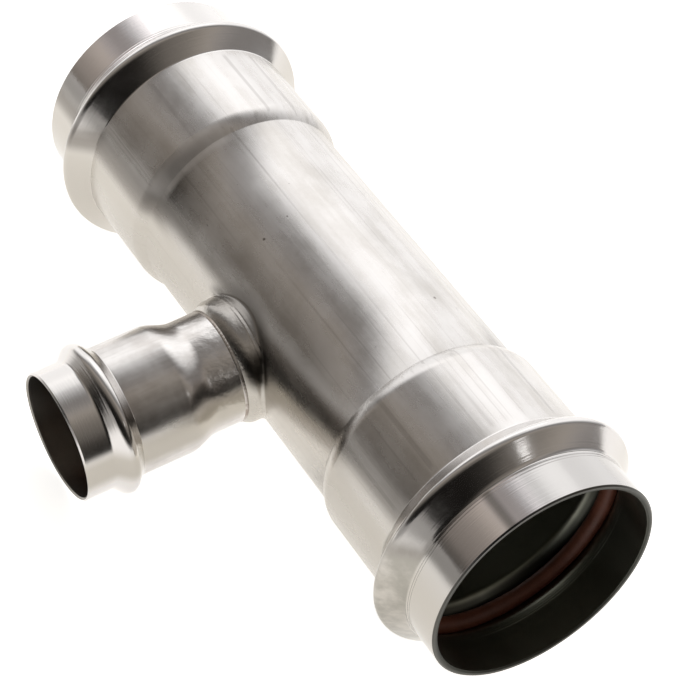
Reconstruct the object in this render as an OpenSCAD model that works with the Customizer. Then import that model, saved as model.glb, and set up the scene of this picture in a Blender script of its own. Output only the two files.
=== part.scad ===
// Reducing press tee fitting of stainless steel tube.
// The run lies along X with a press socket at each end. A smaller branch leaves its middle.
// Each socket has a rolled bead that houses an O-ring. The origin is where the two axes cross.
// The fitting lies as it comes to rest on a flat floor, on both run beads and the branch bead.

/* [Run] */
// Outside diameter of the pipe that the run sockets take, and of the run tube
run_pipe_d = 76.1; // [72:0.1:82]
// Wall of the run tube
run_wall = 2; // [1.6:0.1:2.4]
// Radial slack between a run socket and its pipe
run_slack = 0.45; // [0.3:0.05:0.5]
// Length of the run from mouth to mouth
run_length = 255.2; // [240:0.2:290]
// Depth from a run mouth to its pipe stop
run_socket_depth = 62; // [54:0.5:68]
// Length of the step between run socket and run tube
run_step = 8; // [5:0.5:12]
// Depth from a run mouth to the middle of its bead
run_bead_depth = 22.9; // [19:0.1:28]
// Height of the crown of a run bead above the socket wall
run_bead_rise = 6.55; // [5.8:0.05:7.2]
// Inner radius of the crown of a run bead
run_crown = 0.3; // [0.2:0.1:1.2]
// Outer radius in the creases at the foot of a run bead
run_crease = 0.8; // [0.5:0.1:1.5]

/* [Branch] */
// Outside diameter of the pipe that the branch socket takes
branch_pipe_d = 42; // [40:0.1:45]
// Wall of the branch tube
branch_wall = 1.2; // [1:0.1:1.5]
// Radial slack between the branch socket and its pipe
branch_slack = 0.2; // [0.15:0.05:0.35]
// Reach from the run axis to the branch mouth
branch_reach = 102.4; // [96:0.2:130]
// Depth from the branch mouth to its pipe stop
branch_socket_depth = 40; // [36:0.5:43]
// Length of the step between branch socket and neck
branch_step = 8; // [5:0.5:8.5]
// Depth from the branch mouth to the middle of its bead
branch_bead_depth = 15.3; // [12:0.1:20]
// Height of the crown of the branch bead above the socket wall
branch_bead_rise = 3.75; // [3.4:0.05:4.2]
// Inner radius of the crown of the branch bead
branch_crown = 1.6; // [0.8:0.1:1.8]
// Outer radius in the creases at the foot of the branch bead
branch_crease = 0.5; // [0.3:0.1:1]
// Outside diameter of the narrow neck of the branch
neck_d = 39.4; // [37:0.2:41]

/* [Bead and mouth] */
// Slope of the bead flanks from the socket wall
flank_angle = 45; // [42:1:50]
// Angle that the crown arc turns past the slope of the flank
flank_meet = 6; // [4:1:8]
// Height that a seal stands proud of its socket bore
seal_proud = 0.2; // [0.1:0.05:0.25]
// Slack between a seal and the flanks of its bead
seal_gap = 0.05; // [0.03:0.01:0.1]
// Bevel on both edges of a mouth rim
mouth_bevel = 0.5; // [0.3:0.1:0.8]

/* [Drawn collar and weld] */
// Outside diameter of the collar drawn out of the run
collar_d = 43.2; // [42.4:0.1:44.4]
// Height of the rim of the collar above the run tube
collar_height = 4.55; // [4.2:0.05:5.2]
// Outer radius of the shoulder that narrows the collar to the neck
shoulder_r = 5.2; // [4.6:0.1:6.2]
// Outer radius of the flare from the run into the collar
flare_r = 1.4; // [1:0.1:1.8]
// Width of the weld ring between collar and neck
weld_width = 1.2; // [0.8:0.1:2]
// Height of the crown of the weld above the neck
weld_proud = 0.2; // [0.1:0.05:0.3]

/* [Hidden] */
$fn = 96;
steel = [0.74, 0.74, 0.73];
weld_steel = [0.62, 0.6, 0.58];
rubber = [0.36, 0.1, 0.07];

// Steps along a smooth step in radius, along a crease, and along and around the flare
step_facets = 8;
crease_facets = 4;
flare_facets = 8;
saddle_facets = 72;
// Depth at which the flare ends inside the walls that it joins, and depth of its hidden edge in them
flare_sink = 0.1;
flare_root = 1;
// Angle at which the arc of the shoulder crosses the wall of the collar, and length by which each passes the crossing
shoulder_meet = 6;
shoulder_pass = 0.2;
// Rounds in which the place of the flare is found
flare_rounds = 10;
// Length by which a cut passes the face that it opens
cut_past = 1;

run_tube_r = run_pipe_d / 2;
run_bore_r = run_tube_r + run_slack;
run_half = run_length / 2;
run_bead_at = run_half - run_bead_depth;
run_crown_r = run_bore_r + run_wall + run_bead_rise;

branch_bore_r = branch_pipe_d / 2 + branch_slack;
branch_bead_at = branch_reach - branch_bead_depth;
branch_arc_r = branch_crown + branch_wall;
branch_arc_mid = branch_bore_r + branch_bead_rise - branch_crown;
neck_r = neck_d / 2;
neck_bore_r = neck_r - branch_wall;

// A seal lies on both flanks of its bead and stands proud of the bore
function seal_section(rise, crown) =
    (rise - crown + seal_proud + (crown * cos(flank_meet) - seal_gap) / cos(flank_angle)) / (1 + 1 / cos(flank_angle));
run_seal_section = seal_section(run_bead_rise, run_crown);
run_seal_r = run_bore_r - seal_proud + run_seal_section;
branch_seal_section = seal_section(branch_bead_rise, branch_crown);
branch_seal_r = branch_bore_r - seal_proud + branch_seal_section;

// The collar keeps the wall of the run. Its shoulder narrows it to the size of the neck at the rim.
collar_r = collar_d / 2;
collar_rim = run_tube_r + collar_height;
shoulder_mid = collar_r - shoulder_r * cos(shoulder_meet);
shoulder_at = collar_rim - sqrt(shoulder_r * shoulder_r - pow(neck_r - shoulder_mid, 2));
weld_end = collar_rim + weld_width;

// Turn about X at which the branch bead, or the branch rim, meets the floor under the run beads
bead_rest = asin((run_crown_r - branch_arc_r) / norm([branch_bead_at, branch_arc_mid]))
    - atan2(branch_arc_mid, branch_bead_at);
branch_rim_r = branch_bore_r + branch_wall - mouth_bevel;
rim_rest = asin(run_crown_r / norm([branch_reach, branch_rim_r])) - atan2(branch_rim_r, branch_reach);
rest_angle = min(bead_rest, rim_rest);

// Smooth change of radius along the axis, as [radius, place] points
function step_points(from_r, to_r, from, length) = [
    for (i = [0:step_facets])
        let (t = i / step_facets)
            [from_r + (to_r - from_r) * t * t * (3 - 2 * t), from + length * t]
];

// Foot of a bead on one side, from the socket wall up the crease to the flank
function foot_points(side, at, wall_r, half, crease) = [
    for (i = [0:crease_facets])
        let (a = flank_angle * i / crease_facets)
            [
                wall_r + crease * (1 - cos(a)),
                at + side * (half + crease * tan(flank_angle / 2) - crease * sin(a))
            ]
];

// Top of a flank, just inside the crown arc
function flank_top(side, at, mid_r, arc_r) =
    let (touch = flank_angle + flank_meet, in = arc_r * sin(flank_meet))
        [
            mid_r + arc_r * cos(touch) + in * sin(flank_angle),
            at + side * (arc_r * sin(touch) - in * cos(flank_angle))
        ];

function turned(list) = [for (i = [len(list) - 1:-1:0]) list[i]];

// Half section of a press end: tube, step, socket, bead and collar, out to the mouth.
// The outer skin has no inset. The inner one is inset by the wall, and passes the mouth.
module press_skin(inset, tube_r, bore_r, wall, from, reach, depth, step, bead, rise, crown, crease) {
    skin_r = bore_r + wall - inset;
    stop = reach - depth;
    at = reach - bead;
    mid_r = bore_r + rise - crown;
    arc_r = crown + wall - inset;
    touch = flank_angle + flank_meet;
    half = arc_r * sin(touch) + (mid_r + arc_r * cos(touch) - skin_r) / tan(flank_angle);
    bend = crease + inset;
    bevel = inset > 0 ? mouth_bevel : -mouth_bevel;
    past = inset > 0 ? cut_past : 0;
    polygon(concat(
        [[0, from], [tube_r - inset, from]],
        step_points(tube_r - inset, skin_r, stop - step, step),
        foot_points(-1, at, skin_r, half, bend),
        [flank_top(-1, at, mid_r, arc_r), flank_top(1, at, mid_r, arc_r)],
        turned(foot_points(1, at, skin_r, half, bend)),
        [[skin_r, reach - mouth_bevel], [skin_r + bevel, reach], [skin_r + bevel, reach + past], [0, reach + past]]
    ));
    translate([mid_r, at]) circle(r = arc_r);
}

module run_half_skin(inset) {
    press_skin(
        inset, run_tube_r, run_bore_r, run_wall, 0, run_half,
        run_socket_depth, run_step, run_bead_depth, run_bead_rise, run_crown, run_crease
    );
}

module run_skin(inset) {
    rotate([0, 90, 0]) rotate_extrude() {
        run_half_skin(inset);
        mirror([0, 1]) run_half_skin(inset);
    }
}

module branch_skin(inset, from) {
    press_skin(
        inset, neck_r, branch_bore_r, branch_wall, from, branch_reach,
        branch_socket_depth, branch_step, branch_bead_depth, branch_bead_rise, branch_crown, branch_crease
    );
}

// Axis of the branch, out of the side of the run
module along_branch() {
    rotate([90, 0, 0]) children();
}

// Half section of the collar: a plain wall, then the arc of the shoulder up to the rim
module collar_section(inset) {
    past = inset > 0 ? cut_past : 0;
    square([collar_r - inset, shoulder_at + shoulder_pass]);
    intersection() {
        translate([shoulder_mid, shoulder_at]) circle(r = shoulder_r - inset);
        translate([0, shoulder_at - shoulder_r * sin(2 * shoulder_meet)]) square([2 * collar_r, collar_rim]);
        square([2 * collar_r, collar_rim + past]);
    }
    square([neck_bore_r, collar_rim + past]);
}

// A ball of the radius of the flare rolls in the corner between run and collar, a little below both walls.
// Its height follows from its reach from the branch axis, and its reach from its height on the shoulder.
function ball_height(reach, a) = sqrt(pow(run_tube_r - flare_sink + flare_r, 2) - pow(reach * sin(a), 2));
function ball_reach(a, reach, rounds) = rounds == 0 ? reach :
    let (up = max(0, ball_height(reach, a) - shoulder_at))
        ball_reach(a, shoulder_mid + sqrt(pow(shoulder_r - flare_sink + flare_r, 2) - up * up), rounds - 1);

// One cross section of the flare, at angle a around the branch.
// The inner skin has the same centre as the outer one, so the wall stays even.
function flare_section(inset, a) =
    let (
        reach = ball_reach(a, collar_r + flare_r, flare_rounds),
        mid = [reach * cos(a), ball_height(reach, a), reach * sin(a)],
        ball = flare_r + inset,
        up = max(0, mid[1] - shoulder_at) / (shoulder_r - flare_sink + flare_r),
        in = sqrt(1 - up * up),
        to_collar = [-in * cos(a), -up, -in * sin(a)],
        to_run = [0, -mid[1], -mid[2]] / norm([mid[1], mid[2]]),
        span = acos(to_collar * to_run),
        root = collar_r - inset - flare_root,
        deep = run_tube_r - inset - flare_root,
        drop = deep / norm([mid[1], mid[2]])
    )
    concat(
        [
            for (i = [0:flare_facets])
                let (t = span * i / flare_facets)
                    mid + ball * (to_collar * sin(span - t) + to_run * sin(t)) / sin(span)
        ],
        [
            [mid[0], mid[1] * drop, mid[2] * drop],
            [root * cos(a), sqrt(deep * deep - pow(root * sin(a), 2)), root * sin(a)],
            [root * cos(a), mid[1], root * sin(a)]
        ]
    );

// Saddle-shaped ring that fills the corner between run and collar
module flare(inset) {
    ring = flare_facets + 4;
    sections = [for (k = [0:saddle_facets - 1]) flare_section(inset, 360 * k / saddle_facets)];
    points = [for (s = sections) for (p = s) [p[0], -p[1], p[2]]];
    faces = [
        for (k = [0:saddle_facets - 1])
            for (i = [0:ring - 1])
                let (
                    a = k * ring + i,
                    b = k * ring + (i + 1) % ring,
                    c = ((k + 1) % saddle_facets) * ring + (i + 1) % ring,
                    d = ((k + 1) % saddle_facets) * ring + i
                )
                each [[a, b, c], [a, c, d]]
    ];
    polyhedron(points = points, faces = faces);
}

module run_tube() {
    color(steel) lying() difference() {
        union() {
            run_skin(0);
            along_branch() rotate_extrude() collar_section(0);
            flare(0);
        }
        run_skin(run_wall);
        along_branch() rotate_extrude() collar_section(run_wall);
        flare(run_wall);
    }
}

module branch_tube() {
    color(steel) lying() along_branch() rotate_extrude() difference() {
        branch_skin(0, weld_end);
        branch_skin(branch_wall, weld_end - cut_past);
    }
}

// Ring between the rim of the collar and the end of the neck, with a low crown
module branch_weld() {
    crown_r = (weld_width * weld_width / 4 + weld_proud * weld_proud) / (2 * weld_proud);
    root = weld_proud / 2;
    color(weld_steel) lying() along_branch() rotate_extrude() {
        translate([neck_bore_r, collar_rim]) square([branch_wall - root, weld_width]);
        intersection() {
            translate([neck_r + weld_proud - crown_r, collar_rim + weld_width / 2]) circle(r = crown_r);
            translate([neck_bore_r, collar_rim]) square([2 * run_wall, weld_width]);
        }
    }
}

module run_seal(side) {
    color(rubber) lying() rotate([0, 90, 0]) rotate_extrude()
        translate([run_seal_r, side * run_bead_at]) circle(r = run_seal_section);
}

module run_seal_left() {
    run_seal(-1);
}

module run_seal_right() {
    run_seal(1);
}

module branch_seal() {
    color(rubber) lying() along_branch() rotate_extrude()
        translate([branch_seal_r, branch_bead_at]) circle(r = branch_seal_section);
}

// Turn from the plane of the two axes to the pose in which the fitting lies
module lying() {
    rotate([rest_angle, 0, 0]) children();
}

run_tube();
branch_tube();
branch_weld();
run_seal_left();
run_seal_right();
branch_seal();
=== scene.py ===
# %% [markdown]
# # A stainless press tee
# A reducing press tee joins two pipes in line with a smaller one at the side. It is made of thin
# stainless tube: the ends of the run are widened into sockets, a bead is rolled into each socket to
# house an O-ring, and the branch is welded to a collar drawn out of the run.
# The solids come from the CAD frame. This script replaces them with finer meshes of the same form,
# because polished metal shows every facet, and then gives them their finishes.

# %% Load the frame
import math

import bmesh
import bpy
from mathutils import Matrix, Vector


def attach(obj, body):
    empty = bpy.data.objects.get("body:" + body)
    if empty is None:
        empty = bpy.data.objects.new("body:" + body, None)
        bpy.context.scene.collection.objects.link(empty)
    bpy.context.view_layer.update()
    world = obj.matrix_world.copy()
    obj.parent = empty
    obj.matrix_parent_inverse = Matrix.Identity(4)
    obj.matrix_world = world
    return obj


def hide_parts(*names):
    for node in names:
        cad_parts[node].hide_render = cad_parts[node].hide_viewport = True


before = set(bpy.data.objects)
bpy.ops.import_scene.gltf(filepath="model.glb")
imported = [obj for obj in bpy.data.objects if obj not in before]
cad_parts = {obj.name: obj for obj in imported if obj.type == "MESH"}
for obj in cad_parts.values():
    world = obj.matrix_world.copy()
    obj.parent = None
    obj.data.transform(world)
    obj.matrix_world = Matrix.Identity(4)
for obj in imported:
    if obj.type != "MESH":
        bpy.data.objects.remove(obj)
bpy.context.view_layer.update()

# %% [markdown]
# ## Sizes
# The sizes repeat those of the solids, in millimetres, and every mesh is scaled to metres at the end.
# Only the steps and the outer foot of the beads differ a little, because the photo shows a crisper step
# in the run, a softer one in the branch and a rounder foot.
# The tee lies on its beads, so both axes are first drawn in one level plane, with the run along X and
# the branch along -Y, and then turned about X by the angle at which the branch bead meets the floor.

# %% Sizes of run and branch
MM = 0.001
RUN = dict(
    tube_r=38.05, bore_r=38.5, wall=2.0, start=0.0, reach=127.6,
    depth=62.0, step=6.4, crisp=0.8,
    bead=22.9, rise=6.55, crown=0.3, crease=0.8, foot=3.4,
)
BRANCH = dict(
    tube_r=19.7, bore_r=21.2, wall=1.2, start=43.8, reach=102.4,
    depth=38.8, step=10.4, crisp=0.0,
    bead=15.3, rise=3.75, crown=1.6, crease=0.5, foot=1.2,
)
# Slope of the flanks of a bead, and how far the arc of the crown turns past it.
FLANK, MEET = math.radians(45), math.radians(6)
# How far a seal stands into the bore, its gap to the flanks, and the bevel of a mouth.
PROUD, GAP, BEVEL = 0.2, 0.05, 0.5
# Drawn collar: radius of the ball in its corner, of the collar and of its shoulder, and height of its rim.
FLARE, COLLAR_R, SHOULDER, RIM = 1.4, 21.6, 5.2, 42.6
WELD_PROUD = 0.2
NECK_BORE = BRANCH["tube_r"] - BRANCH["wall"]


def crown_mid(end):
    """Radius at which the arc of the crown has its centre."""
    return end["bore_r"] + end["rise"] - end["crown"]


def seal_radius(end):
    """Section radius of a seal that lies on both flanks of its bead and stands a little into the bore."""
    room = end["rise"] - end["crown"] + PROUD + (end["crown"] * math.cos(MEET) - GAP) / math.cos(FLANK)
    return room / (1 + 1 / math.cos(FLANK))


crown_r = RUN["bore_r"] + RUN["wall"] + RUN["rise"]
bead_at, bead_mid = BRANCH["reach"] - BRANCH["bead"], crown_mid(BRANCH)
rest = math.asin((crown_r - BRANCH["crown"] - BRANCH["wall"]) / math.hypot(bead_at, bead_mid))
rest -= math.atan2(bead_mid, bead_at)
LYING = Matrix.Rotation(rest, 4, "X") @ Matrix.Scale(MM, 4)
print("turned about X by", round(math.degrees(rest), 2), "degrees")

# %% [markdown]
# ## Press end
# A press end is one wall of even thickness, so its outer and inner skins are parallel curves. The
# outline is drawn as points of place and radius. The crown of the bead is an arc, its flanks are
# straight, and an arc rounds each foot: a tight crease towards the tube, and a wider foot towards the
# mouth. The step mixes a soft S with a curve that leaves the tube at a crisp edge. The inner skin uses
# the same rule with the wall taken off each radius, as a roller leaves it. Points stand closer together
# where the outline bends.

# %% Outline of a press end
STEP_PARTS, SOCKET_PARTS, FOOT_PARTS, CROWN_PARTS, COLLAR_PARTS = 20, 3, 6, 24, 4
FOOT_LAND, MOUTH_LAND = 0.4, 0.15


def foot_arc(bend, half, skin):
    """Points (distance from the middle of the bead, radius) from the plain skin up to a flank."""
    edge = half + bend * math.tan(FLANK / 2)
    turns = [FLANK * i / FOOT_PARTS for i in range(FOOT_PARTS + 1)]
    return [(edge - bend * math.sin(a), skin + bend * (1 - math.cos(a))) for a in turns]


def press_outline(end, inset):
    """Points (place, radius) of a skin from tube to mouth. The inset is 0 outside and the wall inside."""
    skin = end["bore_r"] + end["wall"] - inset
    tube = end["tube_r"] - inset
    reach, at = end["reach"], end["reach"] - end["bead"]
    stop = reach - end["depth"]
    mid, arc = crown_mid(end), end["crown"] + end["wall"] - inset
    touch = FLANK + MEET
    half = arc * math.sin(touch) + (mid + arc * math.cos(touch) - skin) / math.tan(FLANK)
    crease = foot_arc(end["crease"] + inset, half, skin)
    foot = foot_arc(end["foot"] + inset, half, skin)
    socket_end, collar_start = at - crease[0][0] - FOOT_LAND, at + foot[0][0] + FOOT_LAND
    collar_end = reach - BEVEL - MOUTH_LAND
    points = [(end["start"], tube)]
    for i in range(STEP_PARTS + 1):
        t = i / STEP_PARTS
        soft, crisp = t * t * (3 - 2 * t), 1 - (1 - t) ** 2
        share = soft + (crisp - soft) * end["crisp"]
        points.append((stop - end["step"] * (1 - t), tube + (skin - tube) * share))
    for i in range(1, SOCKET_PARTS + 1):
        points.append((stop + (socket_end - stop) * i / SOCKET_PARTS, skin))
    points += [(at - s, r) for s, r in crease]
    for i in range(CROWN_PARTS + 1):
        a = touch * (1 - 2 * i / CROWN_PARTS)
        points.append((at - arc * math.sin(a), mid + arc * math.cos(a)))
    points += [(at + s, r) for s, r in reversed(foot)]
    for i in range(COLLAR_PARTS + 1):
        points.append((collar_start + (collar_end - collar_start) * i / COLLAR_PARTS, skin))
    slope = BEVEL if inset else -BEVEL
    points += [(reach - BEVEL, skin), (reach - BEVEL / 2, skin + slope / 2), (reach, skin + slope)]
    return points


print("points in each skin of a run end:", len(press_outline(RUN, 0)))

# %% Finished mesh objects
def finished(name, verts, faces, inside, matrix, sharp=35):
    """A closed piece with its place in its mesh, smooth but for true edges, and a mark on its inside."""
    mesh = bpy.data.meshes.new(name)
    mesh.from_pydata([matrix @ Vector(v) for v in verts], [], faces)
    mark = mesh.attributes.new("inside", "FLOAT", "POINT")
    for i, value in enumerate(inside):
        mark.data[i].value = value
    work = bmesh.new()
    work.from_mesh(mesh)
    bmesh.ops.recalc_face_normals(work, faces=work.faces)
    open_edges = sum(1 for e in work.edges if len(e.link_faces) != 2)
    size = work.calc_volume() * 1e6
    work.to_mesh(mesh)
    work.free()
    mesh.shade_smooth()
    mesh.set_sharp_from_angle(angle=math.radians(sharp))
    piece = bpy.data.objects.new(name, mesh)
    bpy.context.scene.collection.objects.link(piece)
    print(name, len(mesh.polygons), "faces,", open_edges, "open edges,", round(size, 2), "cm3")
    return piece


# %% [markdown]
# ## Run tube
# The run is a tube of revolution, but its middle is broken by the drawn collar. The skin is a regular
# grid with a window around the collar. Inside the window, rows of points lead from the window's edge to
# the line where the flare begins, then over the flare as a ball would roll in the corner, then up the
# collar and over its shoulder, which is rolled in to the size of the neck. Both skins share the centre of
# the ball and that of the shoulder, which keeps the wall even.

# %% Grid and window of the run
AROUND = 192
WINDOW_X, WINDOW_STEPS = 34.0, 26
ALONG_X = [-WINDOW_X + 2 * WINDOW_X * i / WINDOW_STEPS for i in range(WINDOW_STEPS + 1)]
TURN = 2 * math.pi / AROUND


def run_stations(inset):
    """Points (place, radius) along the whole run, from mouth to mouth."""
    end = [p for p in press_outline(RUN, inset) if p[0] > WINDOW_X]
    tube = RUN["tube_r"] - inset
    return [(-s, r) for s, r in reversed(end)] + [(x, tube) for x in ALONG_X] + end


def on_run(x, angle, r):
    """A point of the run: angle 0 faces the branch."""
    return (x, -r * math.cos(angle), r * math.sin(angle))


def window_edge():
    """Grid points (station, turn) around the window, in order."""
    loop = [(i, -WINDOW_STEPS) for i in range(WINDOW_STEPS)]
    loop += [(WINDOW_STEPS, j) for j in range(-WINDOW_STEPS, WINDOW_STEPS)]
    loop += [(i, WINDOW_STEPS) for i in range(WINDOW_STEPS, 0, -1)]
    loop += [(0, j) for j in range(WINDOW_STEPS, -WINDOW_STEPS, -1)]
    return loop


print("window of", 2 * WINDOW_X, "mm by", round(math.degrees(2 * WINDOW_STEPS * TURN), 1), "degrees")

# %% Section through flare and collar
SHOULDER_MID = COLLAR_R - SHOULDER
SHOULDER_AT = RIM - math.sqrt(SHOULDER**2 - (BRANCH["tube_r"] - SHOULDER_MID) ** 2)
SADDLE_ROWS, ARC_ROWS, COLLAR_ROWS = 7, 12, 14
BALL_ROUNDS = 12


def ball_place(phi):
    """Reach and height of a ball that rolls in the corner, at angle phi around the branch."""
    reach = COLLAR_R + FLARE
    for _ in range(BALL_ROUNDS):
        height = math.sqrt((RUN["tube_r"] + FLARE) ** 2 - (reach * math.sin(phi)) ** 2)
        reach = SHOULDER_MID + math.sqrt((SHOULDER + FLARE) ** 2 - max(0.0, height - SHOULDER_AT) ** 2)
    return reach, height


def collar_rows(height, inset):
    """Points (radius, height) up the collar from where the ball touches it to its rim."""
    arc = SHOULDER - inset
    end = BRANCH["tube_r"] if inset == 0 else NECK_BORE
    first = math.asin(max(0.0, height - SHOULDER_AT) / (SHOULDER + FLARE))
    last = math.acos((end - SHOULDER_MID) / arc)
    plain = max(0.0, SHOULDER_AT - height)
    rows = []
    for k in range(1, COLLAR_ROWS + 1):
        s = (plain + arc * (last - first)) * k / COLLAR_ROWS
        if s < plain:
            rows.append((COLLAR_R - inset, height + s))
        else:
            a = first + (s - plain) / arc
            rows.append((SHOULDER_MID + arc * math.cos(a), SHOULDER_AT + arc * math.sin(a)))
    return rows if inset == 0 else rows + [(end, RIM)]


for where, phi in (("beside the branch", 0.0), ("across the run", math.pi / 2)):
    print("reach and height of the ball", where, [round(v, 2) for v in ball_place(phi)])

# %% Rows in the window
def window_column(x, angle, inset):
    """Points from one place on the window's edge to the flare, over it and up the collar."""
    big, ball = RUN["tube_r"] - inset, FLARE + inset
    phi = math.atan2(math.sin(angle) / math.sin(WINDOW_STEPS * TURN), x / WINDOW_X)
    around = Vector((math.cos(phi), 0, math.sin(phi)))
    reach, height = ball_place(phi)
    middle = around * reach - Vector((0, height, 0))
    start = math.asin(middle.z / (big + ball))
    column = []
    for k in range(1, SADDLE_ROWS + 1):
        w = 1 - k / SADDLE_ROWS
        column.append(on_run(middle.x + (x - middle.x) * w, start + (angle - start) * w, big))
    lift = max(0.0, height - SHOULDER_AT) / (SHOULDER + FLARE)
    to_run = Vector((0, -middle.y, -middle.z)).normalized()
    to_collar = Vector((0, lift, 0)) - around * math.sqrt(1 - lift**2)
    span = to_run.angle(to_collar)
    for k in range(1, ARC_ROWS + 1):
        t = span * k / ARC_ROWS
        way = to_run * math.sin(span - t) + to_collar * math.sin(t)
        column.append(middle + ball * way / math.sin(span))
    column += [around * r - Vector((0, y, 0)) for r, y in collar_rows(height, inset)]
    return [tuple(point) for point in column]


print("rows in the window:", len(window_column(WINDOW_X, 0.0, 0)))

# %% One skin of the run
def bridge(faces, ring_a, ring_b):
    n = len(ring_a)
    for k in range(n):
        faces.append((ring_a[k], ring_a[(k + 1) % n], ring_b[(k + 1) % n], ring_b[k]))


def run_skin(verts, faces, inset):
    """Adds a skin to the lists and gives back its two mouth rings and its collar ring."""
    stations = run_stations(inset)
    first = len(verts)
    for x, r in stations:
        verts += [on_run(x, j * TURN, r) for j in range(AROUND)]
    left = next(i for i, s in enumerate(stations) if s[0] >= -WINDOW_X - 1e-6)

    def grid(i, j):
        return first + i * AROUND + j % AROUND

    for i in range(len(stations) - 1):
        for j in range(AROUND):
            turn = j if j < AROUND // 2 else j - AROUND
            if left <= i < left + WINDOW_STEPS and -WINDOW_STEPS <= turn < WINDOW_STEPS:
                continue
            faces.append((grid(i, j), grid(i, j + 1), grid(i + 1, j + 1), grid(i + 1, j)))

    loop = window_edge()
    ring = [grid(left + i, j) for i, j in loop]
    columns = [window_column(ALONG_X[i], j * TURN, inset) for i, j in loop]
    for row in zip(*columns):
        new = list(range(len(verts), len(verts) + len(row)))
        verts += row
        bridge(faces, ring, new)
        ring = new
    mouths = [[grid(i, j) for j in range(AROUND)] for i in (0, len(stations) - 1)]
    return mouths, ring


# %% Close the run between its two skins
verts, faces = [], []
outer_mouths, outer_rim = run_skin(verts, faces, 0)
outside = len(verts)
inner_mouths, inner_rim = run_skin(verts, faces, RUN["wall"])
for ring_a, ring_b in zip(outer_mouths + [outer_rim], inner_mouths + [inner_rim]):
    bridge(faces, ring_a, ring_b)
used = sorted({v for f in faces for v in f})
number = {v: i for i, v in enumerate(used)}
run_tube = finished(
    "press_run",
    [verts[v] for v in used],
    [tuple(number[v] for v in f) for f in faces],
    [0.0 if v < outside else 1.0 for v in used],
    LYING,
)

# %% [markdown]
# ## Branch tube and seals
# The branch and the O-rings are plain solids of revolution, so one helper spins a closed outline about
# the branch or the run. The branch uses the same press-end rule as the run with its own smaller sizes.

# %% Spun pieces
ALONG_RUN = Matrix.Rotation(math.pi / 2, 4, "Y")
ALONG_BRANCH = Matrix.Rotation(math.pi / 2, 4, "X")
BRANCH_AROUND = 160


def spun(name, outline, axis, inside, around):
    """Spins a closed outline of (place, radius) points about an axis."""
    verts, faces = [], []
    n = len(outline)
    for j in range(around):
        a = 2 * math.pi * j / around
        verts += [(r * math.cos(a), r * math.sin(a), s) for s, r in outline]
    for j in range(around):
        for i in range(n):
            a, b = j * n, (j + 1) % around * n
            faces.append((a + i, a + (i + 1) % n, b + (i + 1) % n, b + i))
    return finished(name, verts, faces, [inside[i % n] for i in range(len(verts))], LYING @ axis)


branch_outer = press_outline(BRANCH, 0)
branch_inner = press_outline(BRANCH, BRANCH["wall"])
branch_tube = spun(
    "press_branch",
    branch_outer + branch_inner[::-1],
    ALONG_BRANCH,
    [0.0] * len(branch_outer) + [1.0] * len(branch_inner),
    BRANCH_AROUND,
)

# %% O-rings
SEAL_PARTS = 40


def o_ring(name, end, side, axis, around):
    """A seal in the bead of a press end, at the +1 or -1 side of the origin."""
    at = side * (end["reach"] - end["bead"])
    r = seal_radius(end)
    middle = end["bore_r"] - PROUD + r
    turns = [2 * math.pi * i / SEAL_PARTS for i in range(SEAL_PARTS)]
    outline = [(at + r * math.sin(a), middle + r * math.cos(a)) for a in turns]
    return spun(name, outline, axis, [1.0] * len(outline), around)


seals = {
    "run_seal_left": o_ring("seal_run_left", RUN, -1, ALONG_RUN, AROUND),
    "run_seal_right": o_ring("seal_run_right", RUN, 1, ALONG_RUN, AROUND),
    "branch_seal": o_ring("seal_branch", BRANCH, 1, ALONG_BRANCH, BRANCH_AROUND),
}

# %% [markdown]
# ## Sums on sockets
# Node trees need many small sums, for the shape of the weld and for every finish. One class wraps a
# socket, so that a sum is written as a plain expression and each operator adds its own Math node. One
# method adds any other node: its settings come first, because some of them change its sockets.

# %% A socket that takes part in sums
class Wire:
    def __init__(self, tree, socket=None):
        self.tree, self.socket = tree, socket

    def add(self, kind, settings=None, sockets=None, out=0):
        node = self.tree.nodes.new(kind)
        for key, value in (settings or {}).items():
            if key == "stops":
                ramp = node.color_ramp.elements
                while len(ramp) < len(value):
                    ramp.new(1.0)
                for stop, (at, colour) in zip(ramp, value):
                    stop.position, stop.color = at, colour
            else:
                setattr(node, key, value)
        for key, value in (sockets or {}).items():
            if isinstance(value, Wire):
                self.tree.links.new(value.socket, node.inputs[key])
            else:
                node.inputs[key].default_value = value
        return Wire(self.tree, node.outputs[out])

    def maths(self, operation, *values):
        return self.add("ShaderNodeMath", {"operation": operation}, dict(enumerate(values)))

    def __add__(self, other):
        return self.maths("ADD", self, other)

    __radd__ = __add__

    def __sub__(self, other):
        return self.maths("SUBTRACT", self, other)

    def __rsub__(self, other):
        return self.maths("SUBTRACT", other, self)

    def __mul__(self, other):
        return self.maths("MULTIPLY", self, other)

    __rmul__ = __mul__

    def __truediv__(self, other):
        return self.maths("DIVIDE", self, other)

    def __rtruediv__(self, other):
        return self.maths("DIVIDE", other, self)

    def __abs__(self):
        return self.maths("ABSOLUTE", self)

    def rise(self, low, high):
        """0 below low, 1 above high, and smooth between them."""
        limits = {"Value": self, "From Min": low, "From Max": high}
        return self.add("ShaderNodeMapRange", {"interpolation_type": "SMOOTHSTEP"}, limits)

    def between(self, low, high, soft):
        """1 from low to high, with soft edges."""
        return self.rise(low - soft, low + soft) * (1 - self.rise(high - soft, high + soft))

    def parts(self):
        node = self.add("ShaderNodeSeparateXYZ", None, {0: self}).socket.node
        return [Wire(self.tree, output) for output in node.outputs]


print("a wire has", sum(callable(value) for value in vars(Wire).values()), "methods and operators")

# %% [markdown]
# ## Weld ring
# The branch is joined to the rim of the collar by a narrow weld that runs once around the neck. Its
# surface has fine ripples, each left by one pulse of the torch.
# It follows a path, so Geometry Nodes make it: a closed section is swept around a circle, and each
# point is then moved in by a wave that counts the ripples. The wave lags towards the edges, which bends
# each ripple as a moving weld pool does.

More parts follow.
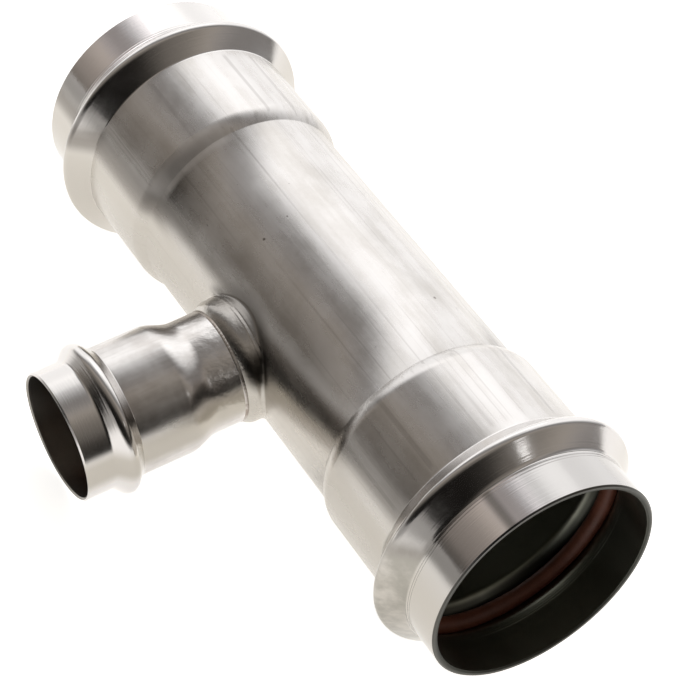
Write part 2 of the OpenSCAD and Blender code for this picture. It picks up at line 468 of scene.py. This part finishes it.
# %% Tree of the weld ring
ARC = 16
WELD_AROUND = 400
LAG = 8


def weld_tree():
    tree = bpy.data.node_groups.new("weld_ring", "GeometryNodeTree")
    tree.interface.new_socket("Geometry", in_out="OUTPUT", socket_type="NodeSocketGeometry")
    for name in ("Neck Radius", "Bore Radius", "Start", "Width", "Crown", "Ripples", "Ripple Depth"):
        tree.interface.new_socket(name, in_out="INPUT", socket_type="NodeSocketFloat")
    tree.interface.new_socket("Finish", in_out="INPUT", socket_type="NodeSocketMaterial")
    given = [Wire(tree, socket) for socket in tree.nodes.new("NodeGroupInput").outputs]
    neck, bore, start, width, crown, ripples, depth, coat = given[:8]
    root = Wire(tree)
    # The points of the section are counted: first the arc of the crown, then the two at the bore.
    index = root.add("GeometryNodeInputIndex")
    share = index / ARC
    in_bore = index.maths("GREATER_THAN", index, ARC + 0.5)
    last = index.maths("GREATER_THAN", index, ARC + 1.5)
    across = (1 - in_bore) * crown * share * (1 - share) * 4 + in_bore * (bore - neck)
    along = start + width * ((1 - in_bore) * share + in_bore * (1 - last))
    section = root.add("GeometryNodeCurvePrimitiveCircle", None, {"Resolution": ARC + 3, "Radius": 1.0})
    place = root.add("ShaderNodeCombineXYZ", None, {"X": across, "Y": 0 - along})
    section = root.add("GeometryNodeSetPosition", None, {"Geometry": section, "Position": place})
    path = root.add("GeometryNodeCurvePrimitiveCircle", None, {"Resolution": WELD_AROUND, "Radius": neck})
    ring = root.add("GeometryNodeCurveToMesh", None, {"Curve": path, "Profile Curve": section})
    x, y, z = root.add("GeometryNodeInputPosition").parts()
    edge = (z - start) / width - 0.5
    lag = edge * edge * LAG
    wave = x.maths("SINE", x.maths("ARCTAN2", y, x) * ripples + lag)
    dip = (wave - 1) * (1 - edge * edge * 4) * depth
    level = root.add("ShaderNodeCombineXYZ", None, {"X": x, "Y": y})
    outward = root.add("ShaderNodeVectorMath", {"operation": "NORMALIZE"}, {0: level})
    offset = root.add("ShaderNodeVectorMath", {"operation": "SCALE"}, {0: outward, "Scale": dip})
    ring = root.add("GeometryNodeSetPosition", None, {"Geometry": ring, "Offset": offset})
    ring = root.add("GeometryNodeRealizeInstances", None, {0: ring})
    ring = root.add("GeometryNodeSetMaterial", None, {"Geometry": ring, "Material": coat})
    tree.links.new(ring.socket, tree.nodes.new("NodeGroupOutput").inputs[0])
    return tree


weld_rule = weld_tree()
print("weld tree:", len(weld_rule.nodes), "nodes")

# %% The weld as a plain mesh
weld_steel = bpy.data.materials.new("weld_steel")
maker = bpy.data.objects.new("weld_maker", bpy.data.meshes.new("weld_maker"))
bpy.context.scene.collection.objects.link(maker)
modifier = maker.modifiers.new("weld", "NODES")
modifier.node_group = weld_rule
weld_sizes = {
    "Neck Radius": BRANCH["tube_r"],
    "Bore Radius": NECK_BORE,
    "Start": RIM,
    "Width": BRANCH["start"] - RIM,
    "Crown": WELD_PROUD,
    "Ripples": 92.0,
    "Ripple Depth": 0.045,
    "Finish": weld_steel,
}
for item in weld_rule.interface.items_tree:
    if item.in_out == "INPUT":
        modifier[item.identifier] = weld_sizes[item.name]
made = bpy.data.meshes.new_from_object(maker.evaluated_get(bpy.context.evaluated_depsgraph_get()))
branch_weld = finished(
    "weld_ring",
    [v.co for v in made.vertices],
    [tuple(p.vertices) for p in made.polygons],
    [0.0] * len(made.vertices),
    LYING @ ALONG_BRANCH,
    sharp=60,
)
bpy.data.objects.remove(maker)

# %% [markdown]
# ## Finishes
# All finishes read Object coordinates. A Mapping node turns them back into the plane of the two axes and
# into millimetres, so that a pattern can follow the run or the branch. The tubes are drawn, which leaves
# long soft streaks along them, and pickled, which leaves pale clouds. Rolling and turning polish the
# beads and the collars, and leave fine rings there. Stretched noise gives the streaks, noise along the
# axis alone gives the rings, and masks along the axis put each where it belongs.

# %% Helpers for finishes
def begin(name, material=None):
    """A material and the place on its piece, in millimetres along the run and the branch."""
    material = material or bpy.data.materials.new(name)
    material.use_nodes = True
    root = Wire(material.node_tree)
    where = root.add("ShaderNodeTexCoord", out="Object")
    turned = {"Vector": where, "Rotation": (-rest, 0.0, 0.0), "Scale": (1 / MM, 1 / MM, 1 / MM)}
    return material, root.add("ShaderNodeMapping", None, turned)


def noise(place, stretch, detail=2.0, roughness=0.5):
    """Soft noise with a stretch for each axis, about 0 to 1."""
    place = place.add("ShaderNodeVectorMath", {"operation": "MULTIPLY"}, {0: place, 1: stretch})
    sockets = {"Vector": place, "Scale": 1.0, "Detail": detail, "Roughness": roughness}
    return place.add("ShaderNodeTexNoise", None, sockets)


def rings(along, size):
    """Fine lines around an axis: noise along it alone."""
    sockets = {"W": along / size, "Scale": 1.0, "Detail": 2.0}
    return along.add("ShaderNodeTexNoise", {"noise_dimensions": "1D"}, sockets)


def distance(place, point):
    return place.add("ShaderNodeVectorMath", {"operation": "DISTANCE"}, {0: place, 1: point}, "Value")


def inside_mark(place):
    return place.add("ShaderNodeAttribute", {"attribute_name": "inside"}, None, "Fac")


def either(mask_a, mask_b):
    """Two masks as one, at most 1."""
    both = mask_a + mask_b
    return both.maths("MINIMUM", both, 1.0)


def tint(base, other, share):
    return share.add("ShaderNodeMix", {"data_type": "RGBA"}, {0: share, 6: base, 7: other}, out=2)


def bumped(height, strength):
    return height.add("ShaderNodeBump", None, {"Strength": strength, "Distance": 0.0001, "Height": height})


def dress(material, metallic, **wires):
    surface = material.node_tree.nodes["Principled BSDF"]
    surface.inputs["Metallic"].default_value = metallic
    for name, wire in wires.items():
        material.node_tree.links.new(wire.socket, surface.inputs[name.replace("_", " ")])
    print(material.name, len(material.node_tree.nodes), "nodes")


# %% [markdown]
# ## Steel of the run
# The run shows how it was made. Its tube has streaks, fine lines and a few specks. Drawing and welding
# left a ridge and dents beside the branch. These could be painted on a picture, but a mask for each is
# exact and stays sharp in a close view. A mask is a place along the run, a height, or a distance from the
# branch.
# A last group of masks paints light and shade. A small room can't give each reflection that a real
# workshop gives, so some sides of the beads, collars and steps are painted a little paler or darker. The
# underside, the bore, the cut rims and the foot of the collar are darkened as painted shade, and a dark
# spot beside the collar is a painted dark reflection.

# %% Places and patterns on the run
RUN_BEAD, RUN_COLLAR, RUN_CUT = (96.8, 112.6, 0.4), (112.4, 113.0), (127.0, 127.2)
run_steel, place = begin("run_steel")
x, y, z = place.parts()
end, front, far = abs(x), 0 - y, 0 - x
inside = inside_mark(place)
tube = 1 - end.rise(57.0, 64.0)
collar = end.rise(*RUN_COLLAR)
bright = either(end.between(*RUN_BEAD), collar)
rim = end.rise(*RUN_CUT)
streak = noise(place, (0.012, 0.17, 0.17), 3.0, 0.55)
hair = noise(place, (0.06, 2.0, 2.0), 2.0)
cloud = noise(place, (0.045, 0.07, 0.07), 4.0, 0.62)
turned = rings(end, 0.45)
wear = streak * 0.45 + cloud * 0.55
line = noise(place, (0.004, 0.5, 0.5), 2.0).rise(0.56, 0.70) * (1 - end.rise(93.0, 96.0))
speck = noise(place, (0.4, 0.5, 0.5), 0.0).rise(0.86, 0.89) * tube * z.rise(24.0, 28.0)
print("patterns on the run:", len(run_steel.node_tree.nodes), "nodes")

# %% Marks, painted shade and a painted dark reflection beside the branch
HEAT_STAIN = (18.0, -37.5, 12.5)
from_branch = x.maths("SQRT", x * x + z * z)
near_branch = (1 - from_branch.rise(22.5, 25.5)) * front.rise(33.0, 34.5)
below_ridge = front.rise(20.0, 26.0) * (1 - front.rise(34.3, 35.3))
# Painted shade in the corner where the drawn collar meets the run.
foot = (1 - from_branch.rise(22.0, 27.0)) * below_ridge * (1 - inside)
hammered = noise(place, (0.40, 0.40, 0.40), 3.0, 0.6)
ridge = front.between(35.3, 35.9, 0.3) - front.between(34.5, 34.9, 0.25)
# Painted dark reflection: a dark spot on the run beside the collar.
stain = (1 - distance(place, HEAT_STAIN).rise(3.0, 9.0)) * near_branch * (1 - inside)
print("with the marks beside the branch:", len(run_steel.node_tree.nodes), "nodes")

# %% Paler and darker sides
# Painted shade: the underside of the run is darker.
under = 1 - z.rise(8.0, 30.0)
front_half = front.rise(10.0, 20.0)
near_collar = x.rise(*RUN_COLLAR)
lit_side = front.between(3.0, 30.5, 3.0)
shaded_side = (1 - lit_side) * z.rise(4.0, 14.0)
stripe = front.between(12.8, 15.6, 1.2)
near_bead = x.between(*RUN_BEAD) * (1 - z.rise(16.0, 30.0)) * front.rise(5.0, 15.0)
# Painted dark reflections: bands at a fixed height along the front of the tube are darker.
front_band = z.between(19.0, 23.0, 2.5) * front_half * (1 - collar)
far_band = far.rise(45.0, 60.0) * z.between(14.5, 20.5, 2.5) * front_half
far_step = far.between(57.0, 64.5, 1.5) * front.rise(2.0, 12.0) * z.rise(20.0, 26.0)
groove_flank = inside * end.between(99.0, 105.0, 0.6)
run_tints = [
    ("fine lines", (0.40, 0.38, 0.365, 1), line * 0.45),
    ("specks", (0.12, 0.10, 0.09, 1), speck * 0.8),
    # Painted light on the lit side of the collars, and painted shade on the shaded side of the near
    # collar.
    ("painted light on the lit side of the collars", (0.97, 0.92, 0.92, 1), collar * lit_side),
    ("painted shade on the shaded side of the near collar", (0.49, 0.475, 0.465, 1), near_collar * shaded_side * 0.9),
    ("stripe on the near collar", (0.42, 0.40, 0.38, 1), near_collar * stripe * 0.9),
    # Painted shade on the underside of the run.
    ("painted shade on the underside", (0.50, 0.47, 0.42, 1), under * 0.85),
    # The pickling clouds darken only the lower front of the near bead: clouds and painted shade together.
    ("clouds and painted shade on the near bead", (0.30, 0.285, 0.25, 1), near_bead * cloud.rise(0.30, 0.60) * 0.8),
    # Painted dark reflections deepen the dark bands that the room gives along the front of the tube.
    ("painted dark reflection along the front", (0.22, 0.20, 0.18, 1), front_band * 0.6),
    ("painted dark reflection at the far end", (0.22, 0.20, 0.18, 1), far_band * 0.75),
    # Painted light: the upper front of the far step is made paler.
    ("painted light on the far step", (0.90, 0.86, 0.83, 1), far_step * 0.5),
    # Painted dark reflection: a dark spot on the run beside the collar.
    ("painted dark reflection beside the collar", (0.07, 0.06, 0.05, 1), stain * 0.9),
    # Painted shade in the corner where the drawn collar meets the run.
    ("painted shade at the foot of the drawn collar", (0.24, 0.225, 0.21, 1), foot * 0.85),
    # Painted shade: the bore is darkened, and the flank in the groove more so. It deepens the dark that
    # the room gives the bores.
    ("bore", (0.22, 0.225, 0.185, 1), inside * 0.95),
    ("shaded flank in the groove", (0.05, 0.05, 0.042, 1), groove_flank * 0.85),
    # Painted shade: the cut rims are darkened so that they show no bright ring.
    ("painted shade on the cut rims", (0.055, 0.055, 0.048, 1), rim * 0.9),
]
print("tints on the run:", [label for label, shade, share in run_tints])

# %% Steel of the run
RUN_DULL, RUN_PALE = (0.53, 0.505, 0.48, 1), (0.72, 0.70, 0.69, 1)
GROOVES, GROOVE_EDGE = [(112.35, 112.55), (113.2, 113.4), (114.1, 114.25)], 0.12
colour = tint(RUN_DULL, RUN_PALE, wear.rise(0.30, 0.66) * (1 - bright) + bright * 0.85)
for label, shade, share in run_tints:
    colour = tint(colour, shade, share)
rough = 0.27 + (cloud - 0.5) * 0.2 + (streak - 0.5) * 0.14 - bright * 0.10 - collar * 0.02
rough = rough + inside * 0.2 + rim * 0.2 + far_step * 0.26
groove = sum(end.between(low, high, GROOVE_EDGE) for low, high in GROOVES)
height = (hair * 0.28 + streak * 0.3) * (1 - bright) + turned * bright * 0.5 + cloud * 1.8
height = height - line * 0.25 - groove * 2.4 + near_branch * (hammered * 4.5 + ridge * 2.0)
dress(run_steel, 1.0, Base_Color=colour, Roughness=rough, Normal=bumped(height, 0.35))

# %% [markdown]
# ## Steel of the branch and the weld
# The branch is brighter than the run, and its neck is dented. Broad and fine noise together give the
# dents as bump, strongest at the weld, with one rough spot. They could be sculpted, but they are shallow,
# and bump keeps the mesh plain. The weld is darker, with a touch of heat colour.

# %% Steel of the branch
BRANCH_BEAD, BRANCH_COLLAR = (82.0, 92.2, 0.3), (92.1, 92.6)
BRANCH_DULL, BRANCH_PALE = (0.54, 0.51, 0.49, 1), (0.72, 0.70, 0.685, 1)
ROUGH_SPOT = (12.3, -49.0, 15.4)
branch_steel, place = begin("branch_steel")
x, y, z = place.parts()
end = 0 - y
inside = inside_mark(place)
bright = either(end.between(*BRANCH_BEAD), end.rise(*BRANCH_COLLAR))
streak = noise(place, (0.6, 0.03, 0.6), 3.0, 0.6)
cloud = noise(place, (0.08, 0.08, 0.08), 3.0, 0.6)
turned = rings(end, 0.35)
wear = streak * 0.3 + cloud * 0.7
colour = tint(BRANCH_DULL, BRANCH_PALE, wear.rise(0.32, 0.66) * (1 - bright) + bright * 0.8)
# Painted dark reflection: a band along both sides of the branch, near the height of its axis, is darker.
colour = tint(colour, (0.46, 0.43, 0.38, 1), z.between(-3.0, 8.0, 3.0) * 0.9)
# Painted shade in the bore of the branch.
colour = tint(colour, (0.28, 0.265, 0.235, 1), inside * 0.95)
rough = 0.24 + (cloud - 0.5) * 0.14 + (streak - 0.5) * 0.08 - bright * 0.08 + inside * 0.15
neck = 1 - end.rise(56.0, 70.0)
at_weld = 1 - end.rise(48.0, 60.0)
broad_dents = noise(place, (0.10, 0.10, 0.10), 1.0)
fine_dents = noise(place, (0.42, 0.36, 0.42), 3.0, 0.62)
dents = broad_dents * 7.0 + fine_dents * (1.2 + at_weld * 2.4)
rough_spot = noise(place, (0.7, 0.35, 0.7), 3.0, 0.65) * (1 - distance(place, ROUGH_SPOT).rise(3.0, 8.0))
height = (streak * 0.15 + cloud * 1.8) * (1 - bright) + turned * bright * 0.5
height = height + dents * neck + rough_spot * 3.0
dress(branch_steel, 1.0, Base_Color=colour, Roughness=rough, Normal=bumped(height, 0.4))

# %% Steel of the weld
WELD_DARK, WELD_PALE = (0.34, 0.29, 0.25, 1), (0.62, 0.59, 0.56, 1)
weld_steel, place = begin("weld_steel", weld_steel)
grain = noise(place, (0.9, 0.9, 0.9), 3.0, 0.6)
heat = noise(place, (0.12, 0.12, 0.12), 2.0)
colour = tint(WELD_DARK, WELD_PALE, (grain * 0.4 + heat * 0.6).rise(0.35, 0.65))
dress(weld_steel, 1.0, Base_Color=colour, Roughness=0.28 + grain * 0.2, Normal=bumped(grain, 0.25))

# %% [markdown]
# ## Rubber
# The O-rings are red-brown rubber, matt, with a bloom of pale dust and the faint mould grain that keeps
# them from looking like paint. Fine noise gives the grain, and broad noise the bloom.

# %% Rubber of the seals
RUBBER_DARK, RUBBER_PALE = (0.14, 0.042, 0.022, 1), (0.21, 0.07, 0.04, 1)
seal_rubber, place = begin("seal_rubber")
grain = noise(place, (2.2, 2.2, 2.2), 2.0)
bloom = noise(place, (0.15, 0.15, 0.15), 3.0, 0.6)
colour = tint(RUBBER_DARK, RUBBER_PALE, (grain * 0.4 + bloom * 0.6).rise(0.3, 0.7))
dress(seal_rubber, 0.0, Base_Color=colour, Roughness=0.42 + bloom * 0.2, Normal=bumped(grain, 0.2))

# %% [markdown]
# ## Hand over to the frame
# Each mesh takes its finish, stands for its solid in the frame and rides on the one body of the part.

# %% Finishes and places in the frame
PIECES = [
    (run_tube, "run_tube", run_steel, "run_steel"),
    (branch_tube, "branch_tube", branch_steel, "branch_steel"),
    (branch_weld, "branch_weld", weld_steel, "weld_steel"),
] + [(seal, node, seal_rubber, "seal_rubber") for node, seal in seals.items()]
for piece, node, finish, slot in PIECES:
    piece.data.materials.append(finish)
    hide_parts(node)
    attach(piece, "root")
print(len(PIECES), "pieces in place")

# %% [markdown]
# ## Camera
# The camera stands where the photo was taken from. Its place and turn were found by laying the measured
# edges of the tee over the photo, so they are given in the plane of the two axes and then turned with
# the tee. The focal length and the middle of the picture are given in pixels of the photo.

# %% Camera of the photo
PHOTO_SIDE, FOCAL, MIDDLE_X, MIDDLE_Y = 680, 2412.7, 325.84, 348.20
SENSOR = 36.0
RIGHT = Vector((0.512, 0.859, 0.0012))
DOWN = Vector((0.6458, -0.384, -0.66))
AHEAD = Vector((-0.5664, 0.3387, -0.7513))
EYE = Vector((464.5, -279.5, 601.1)) * MM
view = Matrix((RIGHT, -DOWN, -AHEAD)).transposed().to_4x4()
camera = bpy.data.objects.new("camera", bpy.data.cameras.new("camera"))
camera.data.sensor_width = SENSOR
camera.data.lens = FOCAL * SENSOR / PHOTO_SIDE
camera.data.shift_x = (PHOTO_SIDE / 2 - MIDDLE_X) / PHOTO_SIDE
camera.data.shift_y = (MIDDLE_Y - PHOTO_SIDE / 2) / PHOTO_SIDE
camera.data.clip_start = 0.01
camera.matrix_world = Matrix.Rotation(rest, 4, "X") @ Matrix.Translation(EYE) @ view
bpy.context.scene.collection.objects.link(camera)
bpy.context.scene.camera = camera
print("camera", [round(c, 3) for c in camera.matrix_world.translation], "lens", round(camera.data.lens, 1))

# %% [markdown]
# ## Floor and light
# Polished metal is mostly a mirror of its room, so the light is half of its look. The floor is a pale
# table with a painted pool of light: it glows around the tee and behind it, which also gives the warm edge
# along the underside of the tubes. Towards the camera and in the front left corner it falls into painted
# shade, mostly outside the picture.
# Behind the tee and above it the room is white, and on the camera's side it is dark, which gives the dark
# bands along the tubes and the dark bores. It is a little paler towards -X, past the far end of the run.
# Two area lights add highlights: a broad one above the tee and a small one beyond its near end.

# %% Pale table
TABLE_HALF = 3.0
TABLE_SHADED, TABLE_LIT = (0.50, 0.49, 0.475, 1), (0.9, 0.895, 0.885, 1)
GLOW_SHADED, GLOW_LIT, GLOW = (0.20, 0.196, 0.19, 1), (1.0, 0.99, 0.97, 1), 0.85
floor_z = -crown_r * MM
corners = [(TABLE_HALF * a, TABLE_HALF * b, floor_z) for a, b in ((-1, -1), (1, -1), (1, 1), (-1, 1))]
mesh = bpy.data.meshes.new("table")
mesh.from_pydata(corners, [], [(0, 1, 2, 3)])
table = bpy.data.objects.new("table", mesh)
bpy.context.scene.collection.objects.link(table)
pale_table, place = begin("pale_table")
x, y, z = place.parts()
speckle = noise(place, (0.02, 0.02, 0.02), 3.0)
to_camera = x * 0.858 - y * 0.513
to_left = 0 - x * 0.513 - y * 0.858
to_front = 0 - y
# The glow and the paler base colour are a painted pool of light on the table, and their fall-off is
# painted shade.
left_corner = to_left.rise(128.0, 240.0) * to_front.rise(95.0, 280.0)
lit = (1 - to_camera.rise(185.0, 460.0)) * (1 - left_corner) * (0.97 + speckle * 0.06)
dress(
    pale_table, 0.0,
    Base_Color=tint(TABLE_SHADED, TABLE_LIT, lit),
    Emission_Color=tint(GLOW_SHADED, GLOW_LIT, lit),
)
table_surface = pale_table.node_tree.nodes["Principled BSDF"]
table_surface.inputs["Emission Strength"].default_value = GLOW
table_surface.inputs["Roughness"].default_value = 0.9
table.data.materials.append(pale_table)

# %% Room
BEHIND = Vector((-0.62, 0.62, 0.48))
ROOM = 1.4
DARK_SIDE, GREY_SIDE, WHITE_SIDE = (1.0, 0.905, 0.80), (1.0, 0.94, 0.90), (1.0, 0.995, 0.99)
# Light of the room from its dark side (0) to its white side (1): place and level, for each hue.
SHADES = {
    DARK_SIDE: [
        (0.0, 0.010), (0.2, 0.010), (0.26, 0.016), (0.3, 0.028), (0.35, 0.055), (0.4, 0.13),
        (0.45, 0.18), (0.5, 0.21), (0.55, 0.255), (0.6, 0.34), (0.645, 0.42),
    ],
    GREY_SIDE: [(0.685, 0.35), (0.72, 0.27), (0.75, 0.25), (0.78, 0.26)],
    WHITE_SIDE: [
        (0.81, 0.36), (0.84, 0.54), (0.87, 0.84), (0.9, 1.13), (0.93, 1.33), (0.965, 1.38), (1.0, 1.28),
    ],
}
stops = []
for hue, levels in SHADES.items():
    stops += [(at, tuple(level / ROOM * c for c in hue) + (1.0,)) for at, level in levels]
world = bpy.data.worlds.new("room")
bpy.context.scene.world = world
world.use_nodes = True
root = Wire(world.node_tree)
direction = root.add("ShaderNodeTexCoord", out="Generated")
facing = root.add("ShaderNodeVectorMath", {"operation": "DOT_PRODUCT"}, {0: direction, 1: BEHIND}, "Value")
left_wall = (0 - direction.parts()[0]).rise(0.68, 0.94)
shade = root.add("ShaderNodeValToRGB", {"stops": stops}, {"Fac": facing * 0.5 + 0.5 + left_wall * 0.1})
back = world.node_tree.nodes["Background"]
world.node_tree.links.new(shade.socket, back.inputs["Color"])
back.inputs["Strength"].default_value = ROOM
print("room of", len(stops), "shades")

# %% Softboxes
def softbox(name, place, aim, width, height, power):
    lamp = bpy.data.lights.new(name, "AREA")
    lamp.shape, lamp.size, lamp.size_y, lamp.energy = "RECTANGLE", width, height, power
    box = bpy.data.objects.new(name, lamp)
    box.location = place
    box.rotation_euler = (Vector(aim) - Vector(place)).to_track_quat("-Z", "Y").to_euler()
    bpy.context.scene.collection.objects.link(box)
    print(name, power, "W")


softbox("softbox_above", (-0.75, 0.4, 0.9), (0, 0, 0), 0.9, 0.7, 0.5)
softbox("softbox_right", (1.03, 0.36, 0.72), (0.1, 0, 0.04), 0.12, 0.12, 0.08)
bpy.context.scene.view_settings.view_transform = "Standard"
